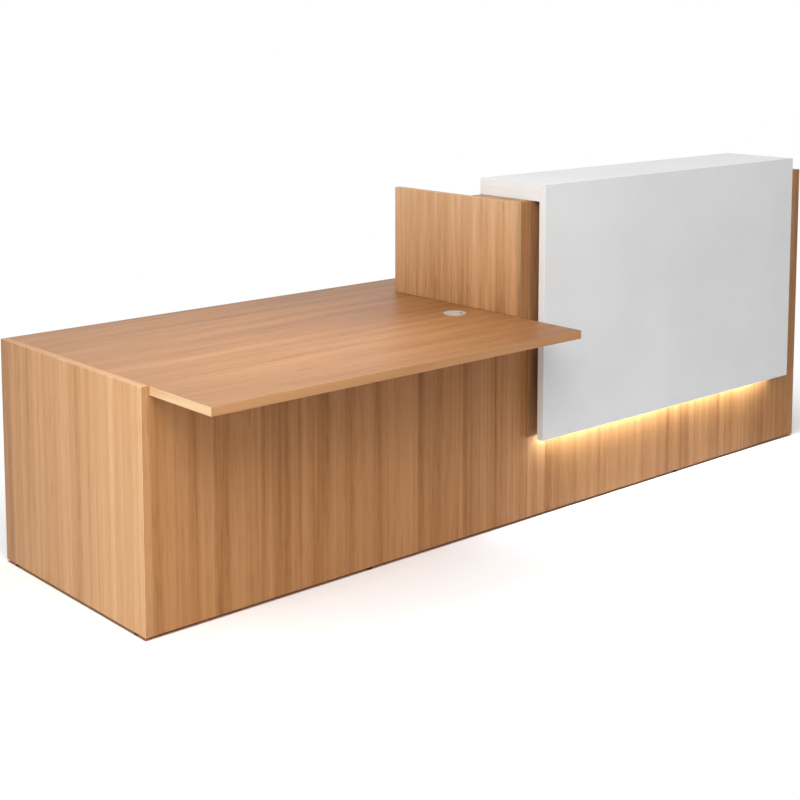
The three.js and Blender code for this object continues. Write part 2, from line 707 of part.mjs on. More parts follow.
function angle(x, y, quarterTurns) {
  const section = outline([
    [0, -ANGLE_LEG],
    [ANGLE_THICKNESS, -ANGLE_LEG],
    [ANGLE_THICKNESS, -ANGLE_THICKNESS],
    [ANGLE_LEG, -ANGLE_THICKNESS],
    [ANGLE_LEG, 0],
    [0, 0],
  ]);
  const body = bar(section, ANGLE_LENGTH).rotateX(Math.PI / 2).translate(0, ANGLE_LENGTH / 2, 0);
  const reach = 2 * ANGLE_LEG;
  const middle = (ANGLE_LEG + ANGLE_THICKNESS) / 2;
  const holes = [-1, 1].flatMap((side) => {
    const y0 = (side * SCREW_PITCH) / 2;
    return [
      rod(SCREW_HOLE, reach).rotateX(Math.PI / 2).translate(middle, y0, 0),
      rod(SCREW_HOLE, reach).rotateZ(Math.PI / 2).translate(0, y0, -middle),
    ];
  });
  return cut(body, holes)
    .rotateZ((quarterTurns * Math.PI) / 2)
    .translate(x, y, DESK_UNDERSIDE - FIT);
}

const LEFT_MIDDLE = (BOARD + SEAM) / 2;
const RIGHT_MIDDLE = (SEAM + RIGHT_INNER) / 2;
const ANGLES = {
  left_gable_front: [BOARD + FIT, ANGLE_INSET, 0],
  left_gable_rear: [BOARD + FIT, BODY_DEPTH - ANGLE_INSET, 0],
  right_gable_front: [RIGHT_INNER - FIT, ANGLE_INSET, 2],
  right_gable_rear: [RIGHT_INNER - FIT, BODY_DEPTH - ANGLE_INSET, 2],
  left_panel_left: [LEFT_MIDDLE - ANGLE_SPREAD, BEHIND_FRONT, 1],
  left_panel_right: [LEFT_MIDDLE + ANGLE_SPREAD, BEHIND_FRONT, 1],
  right_panel_left: [RIGHT_MIDDLE - ANGLE_SPREAD, BEHIND_FRONT, 1],
  right_panel_right: [RIGHT_MIDDLE + ANGLE_SPREAD, BEHIND_FRONT, 1],
};

function seamPlate() {
  const y = RAISED_DEPTH + PLATE_BEHIND_GABLE;
  const top = DESK_UNDERSIDE - FIT;
  const body = bar(roundedRectangle(PLATE_LENGTH, PLATE_WIDTH, PLATE_CORNER), PLATE_THICKNESS)
    .translate(SEAM, y, top - PLATE_THICKNESS);
  const holes = [-1, 1].flatMap((side) => PLATE_HOLES.map((offset) =>
    upright(SCREW_HOLE, top - 2 * PLATE_THICKNESS, top + PLATE_THICKNESS, TURN_COARSE)
      .translate(SEAM + side * offset, y, 0)));
  return cut(body, holes);
}

// Assembly

add('left_gable', leftGable(), WOOD);
add('centre_gable', centreGable(), WOOD);
add('right_gable', rightGable(), WOOD);
add('front_panel_left', frontPanel(BOARD + FIT, SEAM - FIT / 2, 'panel_left'), WOOD);
add('front_panel_right', frontPanel(SEAM + FIT / 2, RIGHT_INNER - FIT, 'panel_right', [leadHole()]), WOOD);
add('desktop', desktop(), WOOD);
add('staff_worktop', staffWorktop(), WOOD);

add('raised_side_panel', raisedSide(), WOOD);
add('wall_front_panel', wallFront(), WOOD);
add('wall_top_panel', wallTop(), WOOD);
add('wall_divider', wallDivider(), WOOD);

add('hood_front', hoodFront(), WHITE);
add('hood_top', hoodTop(), WHITE);
add('hood_end_left', hoodEndLeft(), WHITE);
add('hood_end_right', hoodEndRight(), WHITE);
add('hood_rear_rail', hoodRearRail(), WHITE);
add('hood_centre_rail', hoodCentreRail(), BATTEN);
add('hood_upper_batten', batten(RAISED_TOP - BATTEN_DROP - BATTEN_HEIGHT), BATTEN);
add('hood_lower_batten', batten(CHANNEL_TOP + FIT), BATTEN);
add('hood_backing', hoodBacking(), BACKING_BROWN);

const STRIP_LEFT = LIGHT_LEFT + STRIP_CLEAR;
const STRIP_RIGHT = LIGHT_RIGHT - STRIP_CLEAR;
add('light_channel', inChannel(channelSection(), LIGHT_LEFT, LIGHT_RIGHT - FIT), ALUMINIUM);
add('light_strip', inChannel(stripSection(), STRIP_LEFT, STRIP_RIGHT), WHITE_PLASTIC);
add('light_cover', inChannel(coverSection(), LIGHT_LEFT + FIT, LIGHT_RIGHT - 2 * FIT), OPAL);
add('light_end_cap_left', inChannel(CAP_SECTION, LIGHT_LEFT - FIT - END_CAP, LIGHT_LEFT - FIT), GREY_PLASTIC);
add('light_end_cap_right', rightEndCap(), GREY_PLASTIC);
add('light_driver', driver(), WHITE_PLASTIC);
add('light_lead', lead(), BLACK_PLASTIC);
add('lead_clip', leadClip(), WHITE_PLASTIC);

add('cable_outlet_sleeve', outletSleeve(), GREY_PLASTIC);
add('cable_outlet_lid', outletLid(), GREY_PLASTIC);

for (const [place, [x, y]] of Object.entries(FEET)) {
  add(`foot_${place}`, foot(x, y), BLACK_PLASTIC);
  add(`foot_socket_${place}`, socket(x, y), ZINC_STEEL);
}

for (const [place, [x, y, quarterTurns]] of Object.entries(ANGLES)) {
  add(`angle_${place}`, angle(x, y, quarterTurns), ZINC_STEEL);
}
add('seam_plate', seamPlate(), ZINC_STEEL);

// The origin lies on the floor under the middle of the desk's overall box.
desk.position.set(-LENGTH / 2, -(BODY_DEPTH - OVERHANG) / 2, 0);

export default desk;
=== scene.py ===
# The looks of a reception desk in wood decor board, with a floating white hood and a light strip behind it.
# Metres, +Z up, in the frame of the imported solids: visitors stand on the -Y side.
import json
import math
from collections import namedtuple
import bmesh
import bpy
from mathutils import Matrix, Vector

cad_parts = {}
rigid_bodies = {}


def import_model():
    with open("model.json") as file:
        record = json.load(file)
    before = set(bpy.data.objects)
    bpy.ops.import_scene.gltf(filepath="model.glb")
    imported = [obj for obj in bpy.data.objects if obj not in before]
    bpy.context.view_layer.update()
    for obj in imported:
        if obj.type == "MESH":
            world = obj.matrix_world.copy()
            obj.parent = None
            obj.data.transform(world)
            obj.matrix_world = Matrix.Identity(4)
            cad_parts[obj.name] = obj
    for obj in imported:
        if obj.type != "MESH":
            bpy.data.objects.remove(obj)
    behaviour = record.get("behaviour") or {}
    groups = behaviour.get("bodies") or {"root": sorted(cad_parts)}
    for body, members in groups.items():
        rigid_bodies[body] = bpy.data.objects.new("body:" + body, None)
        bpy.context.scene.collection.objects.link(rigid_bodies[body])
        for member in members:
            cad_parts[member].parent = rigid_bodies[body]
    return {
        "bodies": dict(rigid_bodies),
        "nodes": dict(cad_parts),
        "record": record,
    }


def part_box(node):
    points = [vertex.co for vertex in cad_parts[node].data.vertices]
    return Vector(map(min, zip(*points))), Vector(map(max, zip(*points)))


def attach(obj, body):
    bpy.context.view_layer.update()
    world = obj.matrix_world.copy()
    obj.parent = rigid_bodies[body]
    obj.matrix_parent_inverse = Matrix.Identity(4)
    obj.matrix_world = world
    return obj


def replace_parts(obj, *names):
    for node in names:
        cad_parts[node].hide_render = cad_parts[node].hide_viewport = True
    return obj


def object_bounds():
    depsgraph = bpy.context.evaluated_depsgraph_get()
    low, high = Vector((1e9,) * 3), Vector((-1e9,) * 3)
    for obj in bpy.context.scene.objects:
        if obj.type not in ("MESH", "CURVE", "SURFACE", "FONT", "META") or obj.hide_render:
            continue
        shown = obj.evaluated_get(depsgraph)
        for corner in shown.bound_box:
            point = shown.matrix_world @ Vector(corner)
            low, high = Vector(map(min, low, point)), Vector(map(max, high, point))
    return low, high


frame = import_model()
cad_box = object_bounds()
nodes = frame["nodes"]
scene = bpy.context.scene

MM = 0.001
AXES = {"X": Vector((1, 0, 0)), "Y": Vector((0, 1, 0)), "Z": Vector((0, 0, 1))}

# Camera: the photograph's place and angle, worked out from the desk's corners
PHOTO_SIDE = 800                            # pixels
FOCAL_PIXELS = 1493.1
SENSOR_WIDTH = 36.0                         # millimetres
CAMERA_PLACE = Vector((-3.7542, -3.8055, 1.7704))
CAMERA_HEADING = math.radians(41.48)        # from +Y towards +X
CAMERA_PITCH = math.radians(6.42)           # below the horizon
FRAME_SHIFT = -0.27

# Studio
FLOOR_SIDE = 60.0
FLOOR_BOUNCE = 0.45
WHITE_REACH = 1.1                           # from the desk's box to where the floor has run into plain white
STANDING = ("left_gable", "right_gable", "front_panel_left", "front_panel_right")
# Painted shade: the brown that darkens the floor under the standing boards, for the shadow gap beneath them
PAINTED_GAP_SHADE = (0.50, 0.30, 0.22)
AMBIENT = 0.71
TOP_LIGHT = 0.05
TOP_SPREAD = math.radians(60)
PANELS = {                                  # a soft panel's place, the point that it faces, its side and its watts
    "side_panel": (Vector((-4.5, -0.8, 1.8)), Vector((-1.0, 0.0, 0.6)), 2.4, 20.0),
    "high_panel": (Vector((-3.0, -2.6, 3.6)), Vector((-0.6, -0.1, 0.7)), 2.4, 125.0),
    "near_panel": (Vector((-3.3, -1.3, 0.8)), Vector((-1.5, -0.2, 0.5)), 1.2, 11.0),
}
POOL_PLACE = Vector((-0.95, -0.15, 2.6))    # a soft pool of light on the middle of the desktop
POOL_POWER = 72.0
POOL_SPREAD = math.radians(45)
POOL_SOFTNESS = 0.3

# Wood decor: sizes of the grain per metre, their shares, and its colours from dark to light
GRAIN_STRETCH = 0.014
BAND_SCALE = 12.0
FIGURE_SCALE = 42.0
STREAK_SCALE = 120.0
FIBRE_SCALE = 560.0
PORE_STRETCH = 0.10
PORE_SCALE = 150.0
PORE_SPAN = (0.50, 0.68)
PORE_DEPTH = 0.06
WANDER_SCALE = 2.4
WANDER = 0.0025
SHEET_STEP = Vector((3.7, 1.9, 5.3))
BAND_SHARE = 0.25
FIGURE_SHARE = 0.50
STREAK_SHARE = 0.25
RING_COUNT = 5.0
RING_DEPTH = 0.09
FIBRE_DEPTH = 0.02
# Painted highlight: how much lighter the broken edges are made
PAINTED_ARRIS_HIGHLIGHT = 0.05
WOOD_STOPS = [
    (0.28, (0.240, 0.096, 0.030)),
    (0.42, (0.365, 0.164, 0.058)),
    (0.52, (0.435, 0.208, 0.082)),
    (0.66, (0.500, 0.260, 0.115)),
    (0.80, (0.580, 0.345, 0.178)),
    (0.95, (0.740, 0.520, 0.320)),
]

# Each wood board: the axes of its thickness and its grain, its tint, how light the sheet, its long edges,
# its ends and its broken edges are, how its tone changes across and along the grain per metre, and its grain's
# contrast, scale and dark lines. Most of the tints, the tones of the edges and ends, the lighter broken edges and the
# changes of tone across and along the grain are painted light and shade: lit and shaded copies of the one decor
Board = namedtuple(
    "Board", "thick grain tint tone edge_tone end_tone arris lean rise contrast scale short pores rings shine",
    defaults=(0.0, 0.0, 0.0, PAINTED_ARRIS_HIGHLIGHT, 0.0, 0.0, 1.0, 1.0, 1.0, 1.0, 1.0, 0.5))
# Tints of the one decor. The pale and rosy ones lighten the boards that face the lamps on the left, and the deep and
# dull ones set the front panels under the overhang: painted light and shade
PLAIN = (1.0, 1.0, 1.0)
PAINTED_LIT_PALE = (1.23, 1.30, 1.30)
PAINTED_LIGHT_DEEP = (1.10, 1.09, 1.10)
PAINTED_SHADE_DULL = (0.92, 0.86, 0.72)
TAWNY = (0.96, 0.98, 1.02)
PAINTED_LIT_ROSY = (1.20, 1.34, 1.52)
WARM = (1.01, 0.985, 0.90)
BOARDS = {
    "left_gable": Board("X", "Z", PAINTED_LIT_PALE, tone=0.04, edge_tone=-0.20, end_tone=-0.08, arris=0.12, lean=-0.26,
                        contrast=0.85, scale=0.62, pores=0.8, rings=0.4),
    "centre_gable": Board("X", "Z", PLAIN),
    "right_gable": Board("X", "Z", PLAIN, edge_tone=-0.05, shine=0.2),
    "front_panel_left": Board("Y", "Z", PAINTED_LIGHT_DEEP, tone=-0.015, lean=-0.02, contrast=0.70, scale=0.8, pores=0.8, shine=0.2),
    "front_panel_right": Board("Y", "Z", PAINTED_SHADE_DULL, tone=-0.01, lean=-0.015, contrast=0.85, scale=0.8, pores=0.8, shine=0.2),
    "desktop": Board("Z", "X", WARM, -0.08, 0.14, 0.42, lean=-0.05, rise=-0.06, contrast=0.60, scale=0.48, short=3.2, pores=0.35, rings=0.2),
    "staff_worktop": Board("Z", "X", WARM, -0.08, 0.14, 0.42, contrast=0.60, scale=0.48, short=3.2, pores=0.35, rings=0.2),
    "raised_side_panel": Board("X", "Z", PAINTED_LIT_ROSY, tone=0.03, end_tone=-0.12, arris=0.0, rise=0.72, contrast=0.85, scale=0.8, short=3.0, rings=0.15),
    "wall_front_panel": Board("Y", "Z", TAWNY, arris=0.0, contrast=0.6, rings=0.3, shine=0.2),
    "wall_top_panel": Board("Z", "X", WARM),
    "wall_divider": Board("X", "Z", PLAIN),
}
GRAIN_MIDDLE = 0.48

# Light strip
GLOW_COLOUR = (0.77, 0.95, 1.15)
GLOW_STRENGTH = 70.0

# Cable outlet, as its solids are made
FLANGE_RISE = 2.8 * MM
LEDGE_RISE = 1.3 * MM
LID_SEAT_GAP = 0.3 * MM
RIM_WIDTH = 2.8 * MM
SLEEVE_OUTER = 34.7 * MM
SLEEVE_BORE = 31.7 * MM
LID_SKIRT = 5.0 * MM
LID_SKIRT_WALL = 2.0 * MM
LID_SKIRT_GAP = 0.4 * MM
LID_BORDER = 6.0 * MM
LID_DISH = 0.6 * MM
SLOT_WIDTH = 16.0 * MM
SLOT_REACH = 21.0 * MM
LID_TURN = math.radians(-41)
EDGE_ROUND = 0.5 * MM

# Levelling feet
PAD_HEIGHT = 5.0 * MM
PAD_EDGE = 2.0 * MM
STUD_RADIUS = 4.0 * MM
THREAD_PITCH = 1.25 * MM
THREAD_DEPTH = 0.6 * MM
SOCKET_FLANGE = 1.5 * MM
SOCKET_RADIUS = 7.0 * MM
SOCKET_BORE = 4.2 * MM

# Screws and the sheet metal that they hold
SCREW_HEAD = 4.2 * MM
SCREW_HEIGHT = 2.3 * MM
RECESS_LENGTH = 4.6 * MM
RECESS_WIDTH = 1.0 * MM
RECESS_DEPTH = 1.3 * MM
ANGLE_THICKNESS = 2.5 * MM
ANGLE_HOLE = 21.25 * MM
ANGLE_PITCH = 34.0 * MM
PLATE_HOLES = (20.0 * MM, 44.0 * MM)
EAR_THICKNESS = 3.0 * MM
EAR_WIDTH = 13.0 * MM
EAR_PITCH = 22.0 * MM
HOOD_SCREW_INSET = 45.0 * MM

# Lead of the light strip
LEAD_RADIUS = 2.2 * MM
LEAD_TAIL = 6.0 * MM
LEAD_BEND = 11.0 * MM
BEND_STEPS = 8


class Tree:
    """A material's shader nodes, added and joined one by one."""

    def __init__(self, name):
        self.material = bpy.data.materials.new(name)
        self.material.use_nodes = True
        self.nodes = self.material.node_tree.nodes
        self.links = self.material.node_tree.links
        self.shader = self.nodes["Principled BSDF"]

    def feed(self, socket, value):
        if isinstance(value, bpy.types.NodeSocket):
            self.links.new(value, socket)
        else:
            socket.default_value = value

    def add(self, kind, feeds=None, **settings):
        node = self.nodes.new("ShaderNode" + kind)
        for name, value in settings.items():
            setattr(node, name, value)
        for socket, value in (feeds or {}).items():
            self.feed(node.inputs[socket], value)
        return node

    def surface(self, **values):
        for name, value in values.items():
            self.feed(self.shader.inputs[name.replace("_", " ")], value)

    def place(self):
        return self.add("TexCoord").outputs["Object"]

    def math(self, operation, *values):
        return self.add("Math", dict(enumerate(values)), operation=operation).outputs[0]

    def vector(self, operation, *values):
        return self.add("VectorMath", dict(enumerate(values)), operation=operation).outputs[0]

    def facing(self, normal, axis):
        node = self.add("VectorMath", {0: normal, 1: AXES[axis]}, operation="DOT_PRODUCT")
        return self.math("ABSOLUTE", node.outputs["Value"])

    def noise(self, vector, scale, detail=2.0, roughness=0.5):
        feeds = {"Vector": vector, "Scale": scale, "Detail": detail, "Roughness": roughness}
        return self.add("TexNoise", feeds)

    def ramp(self, value, stops):
        node = self.add("ValToRGB", {0: value})
        elements = node.color_ramp.elements
        while len(elements) < len(stops):
            elements.new(1.0)
        for element, (position, colour) in zip(elements, stops):
            element.position = position
            element.color = (*colour, 1.0)
        return node.outputs["Color"]

    def span(self, value, low, high, to_low, to_high, **settings):
        feeds = {0: value, 1: low, 2: high, 3: to_low, 4: to_high}
        return self.add("MapRange", feeds, **settings).outputs[0]

    def bump(self, height, strength, distance):
        feeds = {"Height": height, "Strength": strength, "Distance": distance}
        return self.add("Bump", feeds).outputs["Normal"]


def stretched(axis, amount):
    return Vector(amount if name == axis else 1.0 for name in AXES)


# Materials

def wood(node, order):
    """Decor with straight grain along one axis. Edges across the grain carry a band whose grain follows the edge."""
    board = BOARDS[node]
    edge = next(axis for axis in AXES if axis not in (board.thick, board.grain))
    tree = Tree("wood_" + node)
    place = tree.place()
    sheet = tree.vector("ADD", place, SHEET_STEP * order)
    drift = tree.vector("SUBTRACT", tree.noise(sheet, WANDER_SCALE).outputs["Color"], Vector((0.5, 0.5, 0.5)))
    wavy = tree.vector("ADD", sheet, tree.vector("MULTIPLY", drift, Vector((WANDER, WANDER, WANDER))))
    normal = tree.add("NewGeometry").outputs["True Normal"]
    across_end = tree.math("GREATER_THAN", tree.facing(normal, board.grain), 0.8)

    def along_grain(stretch):
        return tree.add("Mix", {
            "Factor": across_end,
            4: tree.vector("MULTIPLY", wavy, stretched(board.grain, stretch)),
            5: tree.vector("MULTIPLY", wavy, stretched(edge, stretch)),
        }, data_type="VECTOR").outputs[1]

    space = along_grain(GRAIN_STRETCH * board.short)
    bands = tree.noise(space, BAND_SCALE * board.scale, 1.0).outputs[0]
    figure = tree.noise(space, FIGURE_SCALE * board.scale, 1.5).outputs[0]
    streaks = tree.noise(space, STREAK_SCALE * board.scale, 2.0).outputs[0]
    fibres = tree.noise(space, FIBRE_SCALE, 2.0).outputs[0]
    pores = tree.noise(along_grain(PORE_STRETCH), PORE_SCALE * board.pores, 1.0).outputs[0]
    shade = tree.math("MULTIPLY", bands, BAND_SHARE)
    shade = tree.math("MULTIPLY_ADD", figure, FIGURE_SHARE, shade)
    shade = tree.math("MULTIPLY_ADD", streaks, STREAK_SHARE, shade)

    ring = tree.math("FRACT", tree.math("MULTIPLY", bands, RING_COUNT))
    shade = tree.math("ADD", shade, tree.span(ring, 0.0, 0.45, -RING_DEPTH * board.rings, 0.0))
    shade = tree.math("ADD", shade, tree.span(fibres, 0.3, 0.7, -FIBRE_DEPTH, FIBRE_DEPTH))
    shade = tree.math("ADD", shade, tree.span(pores, *PORE_SPAN, PORE_DEPTH / 4, -3 * PORE_DEPTH / 4))
    shade = tree.math("MULTIPLY_ADD", shade, board.contrast, board.tone + (1 - board.contrast) * GRAIN_MIDDLE)

    # Painted highlight on the broken edges
    flat = tree.facing(normal, board.thick)
    slant = tree.math("ABSOLUTE", tree.math("SUBTRACT", flat, math.sqrt(0.5)))
    shade = tree.math("ADD", shade, tree.span(slant, 0.0, 0.2, board.arris, 0.0))
    # Painted light and shade: the long edges and the ends made lighter or darker than the faces, as the lamps light
    # them
    shade = tree.math("ADD", shade, tree.span(flat, 0.0, 0.3, board.edge_tone, 0.0))
    shade = tree.math("MULTIPLY_ADD", across_end, board.end_tone - board.edge_tone, shade)
    # Painted light and shade: tone slopes across and along each board, such as the left gable lighter towards the
    # front, and the desktop and the raised side darker towards their shaded inner corner
    low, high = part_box(node)
    offset = tree.add("SeparateXYZ", {0: tree.vector("SUBTRACT", place, (low + high) / 2)}).outputs
    shade = tree.math("MULTIPLY_ADD", offset[edge], board.lean, shade)
    shade = tree.math("MULTIPLY_ADD", offset[board.grain], board.rise, shade)

    stops = [(at, tuple(a * b for a, b in zip(colour, board.tint))) for at, colour in WOOD_STOPS]
    tree.surface(
        Base_Color=tree.ramp(shade, stops),
        Roughness=tree.span(fibres, 0.3, 0.7, 0.52, 0.40),
        Specular_IOR_Level=board.shine,
        Normal=tree.bump(fibres, 0.18, 0.0004),
    )
    return tree.material


def white_board():
    tree = Tree("white_board")
    place = tree.place()
    cloud = tree.noise(place, 3.0, 3.0).outputs[0]
    pebble = tree.noise(place, 900.0, 2.0).outputs[0]
    tree.surface(
        Base_Color=tree.ramp(cloud, [(0.35, (0.735, 0.735, 0.735)), (0.65, (0.775, 0.775, 0.775))]),
        Roughness=tree.span(pebble, 0.3, 0.7, 0.36, 0.46),
        Specular_IOR_Level=0.4,
        Normal=tree.bump(pebble, 0.06, 0.0003),
    )
    return tree.material


def backing():
    # A darker brown board behind the hood. Its darkness is partly the board's own colour and partly painted shade for
    # the gap behind the white front
    tree = Tree("dark_backing")
    place = tree.vector("MULTIPLY", tree.place(), stretched("Z", 0.05))
    grain = tree.noise(place, 160.0, 4.0).outputs[0]
    tree.surface(
        Base_Color=tree.ramp(grain, [(0.35, (0.290, 0.132, 0.050)), (0.65, (0.360, 0.175, 0.072))]),
        Roughness=tree.span(grain, 0.3, 0.7, 0.6, 0.75),
        Normal=tree.bump(grain, 0.2, 0.0004),
    )
    return tree.material


def batten():
    tree = Tree("raw_batten")
    place = tree.vector("MULTIPLY", tree.place(), stretched("X", 0.06))
    grain = tree.noise(place, 120.0, 5.0, 0.6).outputs[0]
    tree.surface(
        Base_Color=tree.ramp(grain, [(0.35, (0.42, 0.28, 0.15)), (0.65, (0.56, 0.40, 0.23))]),
        Roughness=tree.span(grain, 0.3, 0.7, 0.7, 0.85),
        Normal=tree.bump(grain, 0.3, 0.0005),
    )
    return tree.material


def aluminium():
    tree = Tree("channel_aluminium")
    place = tree.vector("MULTIPLY", tree.place(), stretched("X", 0.01))
    drawn = tree.noise(place, 2600.0, 3.0).outputs[0]
    tree.surface(
        Base_Color=tree.ramp(drawn, [(0.3, (0.66, 0.67, 0.68)), (0.7, (0.78, 0.79, 0.80))]),
        Metallic=1.0,
        Roughness=tree.span(drawn, 0.3, 0.7, 0.28, 0.42),
        Normal=tree.bump(drawn, 0.1, 0.0002),
    )
    return tree.material


def zinc():
    tree = Tree("zinc_steel")
    place = tree.place()
    spangle = tree.add("TexVoronoi", {"Vector": place, "Scale": 260.0}).outputs["Color"]
    haze = tree.noise(place, 60.0, 4.0).outputs[0]
    blend = tree.math("MULTIPLY_ADD", spangle, 0.35, tree.math("MULTIPLY", haze, 0.65))
    tree.surface(
        Base_Color=tree.ramp(blend, [(0.25, (0.50, 0.51, 0.52)), (0.7, (0.68, 0.69, 0.70))]),
        Metallic=1.0,
        Roughness=tree.span(blend, 0.3, 0.7, 0.32, 0.48),
        Normal=tree.bump(haze, 0.08, 0.0003),
    )
    return tree.material


def moulded(name, dark, light, rough, pebble_scale=1800.0):
    """Moulded plastic: a fine spark texture and a slow change of tone."""
    tree = Tree(name)
    place = tree.place()
    cloud = tree.noise(place, 22.0, 3.0).outputs[0]
    pebble = tree.noise(place, pebble_scale, 2.0).outputs[0]
    tree.surface(
        Base_Color=tree.ramp(cloud, [(0.3, dark), (0.7, light)]),
        Roughness=tree.span(pebble, 0.3, 0.7, rough - 0.06, rough + 0.06),
        Normal=tree.bump(pebble, 0.12, 0.0002),
    )
    return tree.material


def opal():
    tree = Tree("opal_plastic")
    cloud = tree.noise(tree.place(), 14.0, 2.0).outputs[0]
    tree.surface(
        Base_Color=tree.ramp(cloud, [(0.3, (0.86, 0.80, 0.68)), (0.7, (0.92, 0.87, 0.76))]),
        Roughness=tree.span(cloud, 0.3, 0.7, 0.45, 0.55),
        Emission_Color=(*GLOW_COLOUR, 1.0),
        Emission_Strength=GLOW_STRENGTH,
    )
    return tree.material


MATERIALS = {
    "white_board": white_board(),
    "dark_backing": backing(),
    "raw_batten": batten(),
    "channel_aluminium": aluminium(),
    "opal_plastic": opal(),
    "grey_plastic": moulded("grey_plastic", (0.44, 0.42, 0.39), (0.50, 0.48, 0.45), 0.42),
    "black_plastic": moulded("black_plastic", (0.014, 0.014, 0.015), (0.024, 0.024, 0.025), 0.5),
    "white_plastic": moulded("white_plastic", (0.66, 0.66, 0.65), (0.73, 0.73, 0.72), 0.4),
    "zinc_steel": zinc(),
}


def dress_nodes():
    """Gives each solid the material of its slot in the record, and each wood board its own sheet."""
    slots = {part["node"]: part["material_slot"] for part in frame["record"]["subparts"]}
    for order, node in enumerate(BOARDS):
        paint(nodes[node], wood(node, order))
    for node, solid in nodes.items():
        if node not in BOARDS:
            paint(solid, MATERIALS[slots[node]])


def paint(piece, material):
    if piece.material_slots:
        piece.material_slots[0].material = material
    else:
        piece.data.materials.append(material)


# Mesh helpers

def add_piece(name, mesh, slot, body="desk"):
    piece = bpy.data.objects.new(name, mesh)
    scene.collection.objects.link(piece)
    paint(piece, MATERIALS[slot])
    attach(piece, body)
    return piece


def mesh_from(shape, name, sharp=35):
    bmesh.ops.recalc_face_normals(shape, faces=shape.faces)
    mesh = bpy.data.meshes.new(name)
    shape.to_mesh(mesh)
    shape.free()
    mesh.shade_smooth()
    mesh.set_sharp_from_angle(angle=math.radians(sharp))
    return mesh


def rounded(profile, radius, steps=4):
    """Softens each inner corner of an open profile of (radius, height) points."""
    points = [Vector(point) for point in profile]
    soft = [points[0]]
    for before, corner, after in zip(points, points[1:], points[2:]):
        reach = min(radius, (before - corner).length / 2, (after - corner).length / 2)
        start = corner + (before - corner).normalized() * reach
        end = corner + (after - corner).normalized() * reach
        for step in range(steps + 1):
            t = step / steps
            soft.append((1 - t) ** 2 * start + 2 * t * (1 - t) * corner + t ** 2 * end)
    soft.append(points[-1])
    return soft


def turned(profile, sides, closed=False):
    """A surface of revolution about Z. An open profile starts and ends on the axis."""
    shape = bmesh.new()
    rings = []
    for r, z in profile:
        if r < 1e-7:
            rings.append([shape.verts.new((0, 0, z))] * sides)
        else:
            turns = [2 * math.pi * i / sides for i in range(sides)]
            rings.append([shape.verts.new((r * math.cos(t), r * math.sin(t), z)) for t in turns])
    pairs = list(zip(rings, rings[1:]))
    if closed:
        pairs.append((rings[-1], rings[0]))
    for low, high in pairs:
        for i in range(sides):
            j = (i + 1) % sides
            corners = list(dict.fromkeys((low[i], low[j], high[j], high[i])))
            if len(corners) > 2:
                shape.faces.new(corners)
    return shape


def prism(outline, low, high):
    shape = bmesh.new()
    bottom = [shape.verts.new((x, y, low)) for x, y in outline]
    top = [shape.verts.new((x, y, high)) for x, y in outline]
    shape.faces.new(bottom[::-1])
    shape.faces.new(top)
    for i in range(len(outline)):
        j = (i + 1) % len(outline)
        shape.faces.new((bottom[i], bottom[j], top[j], top[i]))
    return shape


def carved(shape, tool, name):
    """The first shape less the second, as a mesh."""
    body, cutter = (bpy.data.objects.new(name, mesh_from(each, name)) for each in (shape, tool))
    for each in (body, cutter):
        scene.collection.objects.link(each)
    change = body.modifiers.new("cut", "BOOLEAN")
    change.operation = "DIFFERENCE"
    change.solver = "EXACT"
    change.object = cutter
    made = bpy.data.meshes.new_from_object(body.evaluated_get(bpy.context.evaluated_depsgraph_get()))
    for each in (body, cutter):
        bpy.data.objects.remove(each)
    made.shade_smooth()
    made.set_sharp_from_angle(angle=math.radians(35))
    return made


# Cable outlet

def make_outlet():
    low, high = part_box("cable_outlet_sleeve")
    middle = (low + high) / 2
    top = high.z
    flange = (high.x - low.x) / 2
    seat = flange - RIM_WIDTH
    desk = top - FLANGE_RISE
    ledge = desk - LID_SEAT_GAP + LEDGE_RISE
    ring = [
        (SLEEVE_BORE, low.z), (SLEEVE_OUTER, low.z), (SLEEVE_OUTER, desk), (flange, desk), (flange, top),
        (seat, top), (seat, ledge), (SLEEVE_BORE, ledge),
    ]
    soft = rounded([*ring, ring[0], ring[1]], EDGE_ROUND)[1:-1]
    sleeve = mesh_from(turned(soft, 128, closed=True), "outlet_sleeve")
    sleeve.transform(Matrix.Translation((middle.x, middle.y, 0)))
    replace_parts(add_piece("outlet_sleeve", sleeve, "grey_plastic"), "cable_outlet_sleeve")

    lid_low, lid_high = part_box("cable_outlet_lid")
    edge = (lid_high.y - lid_low.y) / 2
    under = ledge + LID_SEAT_GAP
    skirt = SLEEVE_BORE - LID_SKIRT_GAP
    disc = rounded([
        (0, under), (skirt - LID_SKIRT_WALL, under), (skirt - LID_SKIRT_WALL, under - LID_SKIRT),
        (skirt, under - LID_SKIRT), (skirt, under), (edge, under), (edge, top), (edge - LID_BORDER, top),
        (edge - LID_BORDER - LID_DISH, top - LID_DISH), (0, top - LID_DISH),
    ], EDGE_ROUND)
    half = SLOT_WIDTH / 2
    inner = edge - SLOT_REACH + half
    arc = [math.pi * (0.5 + i / 24) for i in range(25)]
    slot = [(edge + half, -half), (edge + half, half)]
    slot += [(inner + half * math.cos(t), half * math.sin(t)) for t in arc]
    lid = carved(turned(disc, 128), prism(slot, under - 2 * LID_SKIRT, top + LID_SKIRT), "outlet_lid")
    lid.transform(Matrix.Translation((middle.x, middle.y, 0)) @ Matrix.Rotation(LID_TURN, 4, "Z"))
    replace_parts(add_piece("outlet_lid", lid, "grey_plastic", "outlet_lid"), "cable_outlet_lid")


# Levelling feet

